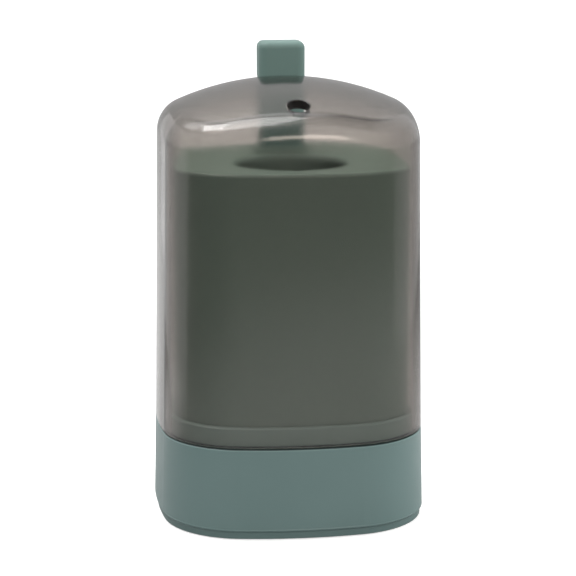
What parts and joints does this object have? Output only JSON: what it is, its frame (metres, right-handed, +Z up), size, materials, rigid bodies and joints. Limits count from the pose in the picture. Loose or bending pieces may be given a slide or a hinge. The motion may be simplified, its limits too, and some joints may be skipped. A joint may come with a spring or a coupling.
{
  "type": "toothpick dispenser",
  "caption": "Free-standing toothpick dispenser: teal base, smoked clear cover with a domed top and pick outlet, inner well, and a square push button at the back.",
  "frame": {"origin": "on the table, under the middle of the body", "axes": "+Z up; -Y towards the pick outlet in front; +X to the right seen from the front"},
  "size_m": [0.069, 0.069, 0.1187],
  "materials": {
    "body_teal": "satin moulded plastic, grey teal",
    "button_teal": "satin moulded plastic, dark grey teal",
    "container_green": "satin moulded plastic",
    "smoked_clear": "polished clear smoked plastic",
    "mechanism_white": "natural moulded plastic",
    "steel": "plain steel",
    "pad_rubber": "soft dark rubber"
  },
  "bodies": {
    "base": {"base_housing": "body_teal", "bottom_cover": "body_teal", "front_left_pad": "pad_rubber", "front_right_pad": "pad_rubber", "rear_left_pad": "pad_rubber", "rear_right_pad": "pad_rubber", "bottom_screws": "steel", "container_screws": "steel", "inner_container": "container_green", "well_floor": "container_green", "rocker_pin": "steel", "return_spring": "steel"},
    "cover": {"cover_shell": "smoked_clear"},
    "button": {"button_cap": "button_teal", "push_column": "button_teal"},
    "rocker": {"rocker_lever": "mechanism_white"},
    "lifter": {"lifter_foot": "mechanism_white", "lifter_pin": "steel"}
  },
  "joints": [
    {"name": "button_press", "type": "slide", "parent": "base", "child": "button", "axis": [0, 0, -1], "range_m": [0, 0.008], "stiffness_N_per_m": 300, "springref_m": -0.006, "deforming": ["return_spring"]},
    {"name": "rocker_tilt", "type": "hinge", "parent": "base", "child": "rocker", "pos_m": [0, 0.001, 0.01195], "axis": [-1, 0, 0], "range_deg": [0, 38.28]},
    {"name": "lifter_rise", "type": "slide", "parent": "base", "child": "lifter", "axis": [0, 0, 1], "range_m": [0, 0.01587]},
    {"name": "cover_lift", "type": "slide", "parent": "base", "child": "cover", "axis": [0, 0, 1], "range_m": [0, 0.11]}
  ],
  "couplings": [
    {"joint": "rocker_tilt", "follows": "button_press", "rad_per_m": 83.512},
    {"joint": "lifter_rise", "follows": "button_press", "ratio": 1.9836}
  ]
}
